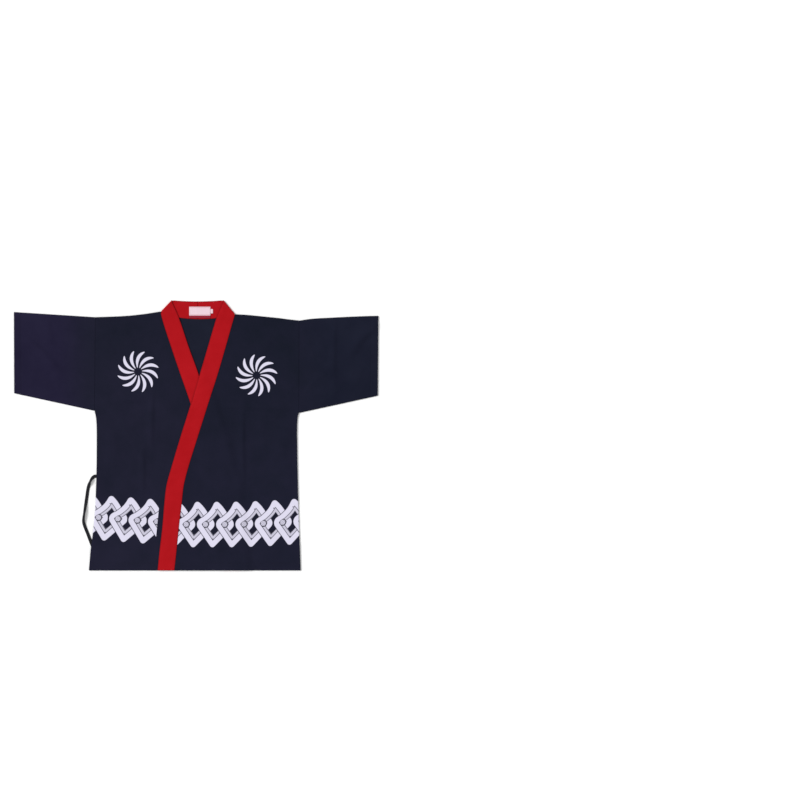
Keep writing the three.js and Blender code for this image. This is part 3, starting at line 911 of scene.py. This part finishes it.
# One link of the printed hem chain: a lopsided diamond band, all in mm from near its top corner
link = {
    "top": (-4.0, 4.0), "left": (-56.8, -69.5), "right": (55.0, -63.3), "bottom": (-13.4, -133.5),
    "roundTop": 13.2, "roundBottom": 9.7, "roundLeft": 5.1, "roundRight": 17.8,
    "swayLeft": (5.3, 0.33), "swayRight": (-2.4, 0.44),  # how far the upper sides bow, and where
    "bandTo": 14.4, "lineTo": 16.1, "lightTo": 22.4, "edgeTo": 24.0,  # depths of its lines
    "white": 1.0, "grey": 0.02, "light": 0.79, "dotIn": 3.0, "dotSize": 1.5, "halo": 2.0,
    "ball": (-31.8, -64.8), "ballSize": 10.2, "rim": 2.9, "ballLevel": 0.74, "hatch": 0.16,
    "reach": 3.0,  # room left of its left corner
}


def sideOf(a, b):  # unit normal to the inside of the side from a to b, and its offset
    dx, dy = b[0] - a[0], b[1] - a[1]
    span = math.hypot(dx, dy)
    nx, ny = dy / span, -dx / span
    return nx, ny, -(nx * a[0] + ny * a[1])


def innerCorner(first, second, depth):  # where two sides meet, moved in by depth
    (a, b, c), (d, e, f) = first, second
    det = a * e - b * d
    return ((depth - c) * e - b * (depth - f)) / det, (a * (depth - f) - (depth - c) * d) / det


def roundedCorner(a, b, radius):  # depth inside two sides whose corner is rounded
    shortA, shortB = (calc("MAXIMUM", radius - depth, 0.0) for depth in (a, b))
    return radius - calc("SQRT", shortA * shortA + shortB * shortB)


def bowed(x, y, depth, start, end, sway):  # a side's depth, with one wave along its length
    high, middle = sway
    dx, dy = end[0] - start[0], end[1] - start[1]
    tx, ty = dx / (dx * dx + dy * dy), dy / (dx * dx + dy * dy)
    t = limited(x * tx + y * ty - (start[0] * tx + start[1] * ty))
    late = t * (0.5 / (1 - middle)) + (0.5 - 0.5 * middle / (1 - middle))
    wave = calc("MINIMUM", t * (0.5 / middle), late)
    return calc("SINE", wave * (2 * math.pi)) * high + depth


def makeLinkGroup():
    tree, (x, y), sink = makeGroup("chain link", ["X", "Y"], ["Level", "Ink", "Halo"])
    upLeft, upRight = sideOf(link["left"], link["top"]), sideOf(link["top"], link["right"])
    downRight, downLeft = sideOf(link["right"], link["bottom"]), sideOf(link["bottom"], link["left"])
    a, b, c, d = (x * nx + y * ny + offset for nx, ny, offset in (upLeft, upRight, downRight, downLeft))
    a = bowed(x, y, a, link["left"], link["top"], link["swayLeft"])
    b = bowed(x, y, b, link["right"], link["top"], link["swayRight"])
    soft = smallest(roundedCorner(a, b, link["roundTop"]), roundedCorner(c, d, link["roundBottom"]),
                    roundedCorner(a, d, link["roundLeft"]), roundedCorner(b, c, link["roundRight"]))
    hard = smallest(a, b, c, d)

    level = link["white"]
    for limit, step in ((link["bandTo"], link["grey"] - link["white"]),
                        (link["lineTo"], link["light"] - link["grey"]),
                        (link["lightTo"], link["grey"] - link["light"])):
        level = past(hard, limit) * step + level
    for pair in ((upLeft, upRight), (downRight, downLeft)):
        away = distanceTo(x, y, innerCorner(*pair, link["bandTo"] + link["dotIn"]))
        level = level * past(away, link["dotSize"])

    away = distanceTo(x, y, link["ball"])
    overBall = (1.0 - past(away, link["ballSize"])) * past(hard, link["bandTo"])
    core = 1.0 - past(away, link["ballSize"] - link["rim"])
    ballLevel = (calc("SINE", x + y) * link["hatch"] + link["ballLevel"]) * core
    level = overBall * (ballLevel - level) + level

    inside = past(hard, link["edgeTo"]) * (1.0 - overBall)
    within = past(soft, 0.0)
    give(sink.inputs["Level"], level)
    give(sink.inputs["Ink"], within * (1.0 - inside))
    give(sink.inputs["Halo"], past(soft, -link["halo"]) - within)
    return tree


def makeChainGroup(linkGroup):  # a row of links, each drawn over the one before it
    tree, (x, y, pitch), sink = makeGroup("hem chain", ["X", "Y", "Pitch"], ["Level", "Ink"])
    upperX = x - calc("FLOOR", (x + (link["reach"] - link["left"][0])) / pitch) * pitch
    parts = ["Level", "Ink", "Halo"]
    upperLevel, upperInk, halo = useGroup(linkGroup, {"X": upperX, "Y": y}, parts)
    lowerLevel, lowerInk, _ = useGroup(linkGroup, {"X": upperX + pitch, "Y": y}, parts)
    below = halo * (link["grey"] - lowerLevel) + lowerLevel
    give(sink.inputs["Level"], upperInk * (upperLevel - below) + below)
    give(sink.inputs["Ink"], calc("MAXIMUM", upperInk, lowerInk))
    return tree


# Twelve curved blades round a bare hub, in mm from the middle
whirl = {
    "radius": 58.7, "blades": 12, "sweep": 28.1, "sweepPower": 2.3, "halfAngle": 8.1,
    "hub": 0.175, "fullFrom": 0.45, "rootShare": 0.55, "rootPower": 0.6,  # shares of the radius
    "tipPower": 5.0, "tipRound": 0.65, "swell": 0.3, "hubEdge": 25.0, "rimEdge": 60.0,
}


def makeWhirlGroup():
    tree, (x, y, turn), sink = makeGroup("chest whirl", ["X", "Y", "Turn"], ["Ink"])
    away = distanceTo(x, y, (0, 0))
    rho = away / whirl["radius"]
    angle = calc("DEGREES", calc("ARCTAN2", y, x))
    half = 180.0 / whirl["blades"]
    off = angle + rho ** whirl["sweepPower"] * whirl["sweep"] - turn
    off = calc("ABSOLUTE", calc("WRAP", off, half, -half))
    taper = calc("MAXIMUM", 1.0 - rho ** whirl["tipPower"], 0.0)
    root = limited((rho - whirl["hub"]) / (whirl["fullFrom"] - whirl["hub"])) ** whirl["rootPower"]
    wide = taper ** whirl["tipRound"] * whirl["halfAngle"]
    wide = wide * (root * (1 - whirl["rootShare"]) + whirl["rootShare"])
    inBlade = limited((wide - off) * (away * (math.pi / 180)) + whirl["swell"])
    inRim = limited((1.0 - rho) * whirl["rimEdge"])
    pastHub = limited((rho - whirl["hub"]) * whirl["hubEdge"])
    give(sink.inputs["Ink"], inBlade * inRim * pastHub)
    return tree


chainGroup = makeChainGroup(makeLinkGroup())
whirlGroup = makeWhirlGroup()

prints = {  # where each panel's chain starts, how it is turned, sized and bent, and its whirl
    "right": {
        "origin": (-237.0, -167.9), "turn": -4.2, "pitch": 53.2, "size": (1.025, 0.99),
        "stop": -84.6, "stopLean": 0.1, "bend": 0.0, "whirl": (-163.5, 178.5), "whirlTurn": 9.4,
    },
    "left": {
        "origin": (3.3, -184.0), "turn": 0.0, "pitch": 54.0, "size": (1, 1),
        "stop": None, "bend": 0.0002, "bendFrom": 71.0, "whirl": (168.3, 167.9), "whirlTurn": 3.3,
    },
    "back": {
        "origin": (254.1, -176.0), "turn": 0.0, "pitch": 54.9, "size": (-1, 1),
        "stop": None, "bend": 0.0, "whirl": None,
    },
}


def printOn(spot, settings):  # how white the print is at a place, and how much of it is there
    x, y = placed(spot, settings["origin"], settings["size"], settings["turn"])
    if settings["bend"]:
        bent = calc("MAXIMUM", x - settings["bendFrom"], 0.0)
        y = y - bent * bent * settings["bend"]
    level, inked = useGroup(chainGroup, {"X": x, "Y": y, "Pitch": settings["pitch"]}, ["Level", "Ink"])
    if settings["stop"] is not None:  # the print ends here, short of the band
        realX, realY = axes(spot)
        edge = realY * settings["stopLean"] + settings["stop"] * mm
        inked = inked * calc("LESS_THAN", realX, edge)
    if settings["whirl"]:
        x, y = placed(spot, settings["whirl"])
        [whirlInk] = useGroup(whirlGroup, {"X": x, "Y": y, "Turn": settings["whirlTurn"]}, ["Ink"])
        level, inked = calc("MAXIMUM", level, whirlInk), calc("MAXIMUM", inked, whirlInk)
    return level, inked


clothLooks = {  # screen colours of its darkest and lightest places, specular level, roughness
    "navyRight": ((20.1, 23.0, 36.1), (29.6, 29.2, 46.1), 0.06, 0.92),
    "navyLeft": ((17.9, 21.9, 34), (26.9, 27.4, 43.8), 0.06, 0.92),
    "navyBack": ((19, 20, 33), (27, 28, 41), 0.06, 0.92),
    "inner": ((19, 21.6, 34.8), (27, 29.6, 43.8), 0.06, 0.93),
    "sleeveRight": ((24.5, 21.5, 43), (32.5, 29.5, 51.5), 0.06, 0.92),
    "sleeveLeft": ((17, 20, 35), (25.5, 28, 43), 0.06, 0.92),
    "red": ((151, 10, 17), (170, 20, 28), 0.05, 0.85),
    "label": ((206, 176, 188), (228, 204, 213), 0.25, 0.6),
    "tape": ((24, 24, 27), (34, 34, 38), 0.08, 0.85),
    "navyThread": ((18, 19, 32), (30, 31, 47), 0.12, 0.7),
    "redThread": ((140, 12, 18), (176, 26, 32), 0.12, 0.6),
    "whiteThread": ((214, 190, 198), (236, 220, 226), 0.2, 0.6),
}
ink = {"white": linear(209, 206, 224), "shade": linear(47, 46, 58), "rough": 0.72, "height": 0.35}
weave = {
    "thread": 0.00062, "ribbing": 0.0016, "height": 0.00008, "strength": 0.25,  # in metres
    "slub": {"Scale": 700.0, "Detail": 3.0},
    "mottle": {"Scale": 19.0, "Detail": 7.0, "Roughness": 0.66},
    "cloud": {"Scale": 5.0, "Detail": 2.0},
    "mottleShare": 1.2, "slubShare": 0.35, "cloudShare": 0.9, "darken": 0.6,
    # fade: painted shading, how much paler the printed panels grow towards the hem
    "slubHeight": 0.6, "slubRough": 0.08, "ribHeight": 2.0, "fade": 0.7,
}

waveShapes = {
    "thread": {"Distortion": 5.0, "Detail": 2.0, "Detail Scale": 2.4},
    "ribbing": {"Distortion": 0.2},
}


def noise(spot, settings):
    return reading(spot, "ShaderNodeTexNoise", {"Vector": spot, **settings}, "Fac")


def threadWaves(spot, direction, kind):  # at a scale of 1 this texture repeats every 2 pi / 20
    links = {"Vector": spot, "Scale": 2 * math.pi / (20 * weave[kind]), **waveShapes[kind]}
    return reading(spot, "ShaderNodeTexWave", links, "Fac", bands_direction=direction)


def lookColour(share, look):
    dark, light, _, _ = clothLooks[look]
    return mixColour(share, linear(*dark), linear(*light))


def clothSpot(material, kind):
    return Reading(material.node_tree.nodes.new("ShaderNodeTexCoord").outputs[kind])


def wovenMaterial(name, look, printed=None, useUV=False, ribbed=False, paintedShadeToward=None):
    material, inputs = newMaterial(name)
    spot = clothSpot(material, "UV" if useUV else "Object")
    _, _, level, rough = clothLooks[look]
    warp, weft = (threadWaves(spot, direction, "thread") for direction in "XY")
    slub, mottle, cloud = (noise(spot, weave[kind]) for kind in ("slub", "mottle", "cloud"))
    grain = mottle * weave["mottleShare"] - weave["darken"]
    grain = slub * weave["slubShare"] + grain
    grain = cloud * weave["cloudShare"] + grain
    if printed:  # painted shading: paler towards the hem, darker towards the shoulders
        _, high = axes(spot)
        grain = grain - high * weave["fade"]
    share = limited(grain)
    colour = lookColour(share, look)
    if paintedShadeToward:  # painted shading: the colour shifts gradually to another piece's tint between two x positions
        other, start, end = paintedShadeToward
        x, _ = axes(spot)
        ramp = reading(x, "ShaderNodeMapRange", {0: x, 1: start * mm, 2: end * mm},
                       interpolation_type="SMOOTHSTEP")
        colour = mixColour(ramp, colour, lookColour(share, other))
    height = slub * weave["slubHeight"] + warp * weft
    roughness = slub * weave["slubRough"] + (rough - weave["slubRough"] / 2)
    if ribbed:
        height = threadWaves(spot, "X", "ribbing") * weave["ribHeight"] + height
    if printed:
        paint, inked = printOn(spot, printed)
        colour = mixColour(inked, colour, mixColour(paint, ink["shade"], ink["white"]))
        height = inked * ink["height"] + height
        roughness = inked * (ink["rough"] - rough) + roughness
    bump = reading(height, "ShaderNodeBump", {"Height": height, "Strength": weave["strength"],
                                              "Distance": weave["height"]})
    for label, value in (("Base Color", colour), ("Roughness", roughness), ("Normal", bump),
                         ("Specular IOR Level", level)):
        give(inputs[label], value)
    return material


def dress(piece, *materials):
    for material in materials:
        piece.data.materials.append(material)


innerCloth = wovenMaterial("navy_cloth_inside", "inner")
for piece, name, look, panelPrint in (
        (backPanel, "navy_cloth_back", "navyBack", prints["back"]),
        (rightPanel, "navy_cloth_right_front", "navyRight", prints["right"]),
        (leftPanel, "navy_cloth_left_front", "navyLeft", prints["left"])):
    dress(piece, wovenMaterial(name, look, panelPrint), innerCloth)
# painted shading: each sleeve's tint gives way to its front's tint towards the armhole
dress(rightSleeve, wovenMaterial("navy_cloth_right_sleeve", "sleeveRight", paintedShadeToward=("navyRight", -400, -285)),
      innerCloth)
dress(leftSleeve, wovenMaterial("navy_cloth_left_sleeve", "sleeveLeft", paintedShadeToward=("navyLeft", 380, 288)),
      innerCloth)


def baseColour(material):  # the colour so far, and the socket that takes it
    socket = material.node_tree.nodes["Principled BSDF"].inputs["Base Color"]
    return Reading(socket.links[0].from_socket), socket


# The label: a white field left bare, two fine woven lines, and a crimson strip along its lower edge, partly
# a red backing and partly painted shade under the label
labelLook = {
    "line": linear(196, 120, 136), "backingAndShade": linear(150, 16, 44), "backingAndShadeDark": linear(118, 10, 34),
    "lines": [338.1, 357.8], "lineWidth": 0.7, "inset": 1.6, "backingAndShadeTop": 335.6, "wobble": 0.8,
    "wobbleNoise": {"Scale": 240.0, "Detail": 2.0}, "threadNoise": {"Scale": 900.0, "Detail": 3.0},
}


def labelMaterial():
    material = wovenMaterial("white_label_weave", "label")
    colour, socket = baseColour(material)
    spot = clothSpot(material, "Object")
    x, y = placed(spot, (0, 0))
    wobble = labelLook["wobble"]
    y = noise(spot, labelLook["wobbleNoise"]) * wobble + (y - wobble / 2)
    sideways = smallest(past(x, labelCut["left"] + labelLook["inset"]),
                        1.0 - past(x, labelCut["right"] - labelLook["inset"]))
    for height in labelLook["lines"]:
        onLine = 1.0 - past(calc("ABSOLUTE", y - height), labelLook["lineWidth"] / 2)
        colour = mixColour(onLine * sideways, colour, labelLook["line"])
    # the lower strip: red backing threads with painted shade under the label
    threads = noise(spot, labelLook["threadNoise"])
    backingAndShadeColour = mixColour(threads, labelLook["backingAndShadeDark"], labelLook["backingAndShade"])
    give(socket, mixColour(1.0 - past(y, labelLook["backingAndShadeTop"]), colour, backingAndShadeColour))
    return material


# painted shade along the band's two edges: its colour, strength and width
bandEdge = {"colour": linear(92, 8, 14), "share": 0.55, "width": 0.0022}  # width in metres


def bandMaterial():  # painted shade: a little darker along the two edges, outside the stitches, where the folded band falls into shadow
    material = wovenMaterial("red_band_cloth", "red", useUV=True)
    colour, socket = baseColour(material)
    _, across = axes(clothSpot(material, "UV"))
    halfWidth = band["width"] * mm / 2
    fromEdge = halfWidth - calc("ABSOLUTE", across - halfWidth)
    # painted shade, strongest at each edge
    dark = (1.0 - limited(fromEdge / bandEdge["width"])) * bandEdge["share"]
    give(socket, mixColour(dark, colour, bandEdge["colour"]))
    return material


redCloth, labelWeave = bandMaterial(), labelMaterial()
tabWeave = wovenMaterial("white_tab_weave", "label")
navyThread = wovenMaterial("navy_thread", "navyThread")
for piece, material in ((rightBand, redCloth), (leftBand, redCloth), (neckLabel, labelWeave),
                        (sizeTab, tabWeave)):
    dress(piece, material, material)
dress(tieTape, wovenMaterial("black_tie_tape", "tape", useUV=True, ribbed=True))
dress(hemStitches, navyThread)
dress(cuffStitches, navyThread)
dress(bandStitches, wovenMaterial("red_thread", "redThread"))
dress(labelStitches, wovenMaterial("white_thread", "whiteThread"))
dress(tackStitches, wovenMaterial("black_thread", "tape"))
print("materials made")


# Table and light
studio = {
    "tableSize": 120, "tableAt": (0.3, 0, -0.0002), "tableRough": 0.9, "grain": {"Scale": 60.0},
    "tableColours": ((0.92, 0.92, 0.92, 1), (0.93, 0.93, 0.93, 1)),
    "world": 0.54,
    "lamps": [  # name, where it shines from, strength, softness in degrees
        ("keyLight", (-2.95, 1.25, 2.6), 2.68, 28), ("fillLight", (2.6, -2.0, 3.0), 0.45, 40)],
}


def addStudio():
    bpy.ops.mesh.primitive_plane_add(size=studio["tableSize"], location=studio["tableAt"])
    floor = bpy.context.object
    floor.name = "pale_table"
    paint, inputs = newMaterial("pale_table_paint")
    grain = noise(clothSpot(paint, "Object"), studio["grain"])
    give(inputs["Base Color"], mixColour(grain, *studio["tableColours"]))
    give(inputs["Roughness"], studio["tableRough"])
    dress(floor, paint)
    floor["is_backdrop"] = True
    for name, spot, strength, softness in studio["lamps"]:
        bpy.ops.object.light_add(type="SUN", location=spot)
        lamp = bpy.context.object
        lamp.name = name
        lamp.data.energy = strength
        lamp.data.angle = math.radians(softness)
        lamp.rotation_euler = (-Vector(spot)).to_track_quat("-Z", "Y").to_euler()
    world = bpy.data.worlds.new("studioWorld")
    world.use_nodes = True
    background = world.node_tree.nodes["Background"]
    background.inputs[0].default_value = (1, 1, 1, 1)
    background.inputs[1].default_value = studio["world"]
    bpy.context.scene.world = world
    bpy.context.scene.view_settings.view_transform = "Standard"


addStudio()
print("table and light set")


# What each piece stands for, and the cut of its cloth
pieces = [
    (backPanel, "back", "body_cloth"), (rightPanel, "right_front", "body_cloth"),
    (leftPanel, "left_front", "body_cloth"), (rightSleeve, "right_sleeve", "sleeve_cloth"),
    (leftSleeve, "left_sleeve", "sleeve_cloth"), (rightBand, "collar_band_right", "band_cloth"),
    (leftBand, "collar_band_left", "band_cloth"), (neckLabel, "neck_label", "label_weave"),
    (sizeTab, "size_tab", "label_weave"), (tieTape, "side_tie", "tie_tape"),
]
for piece, node, slotName in pieces:
    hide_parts(node)
    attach(piece, "root")
for piece, slotName in ((hemStitches, "body_cloth"), (cuffStitches, "sleeve_cloth"),
                        (bandStitches, "band_cloth"), (labelStitches, "label_weave"),
                        (tackStitches, "tie_tape")):
    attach(piece, "root")

[tuple(p) for p in tieCentres]

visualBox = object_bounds()
boxes = {"cad": cadBox, "visual": visualBox}
{key: [[float(v) for v in corner] for corner in box] for key, box in boxes.items()}
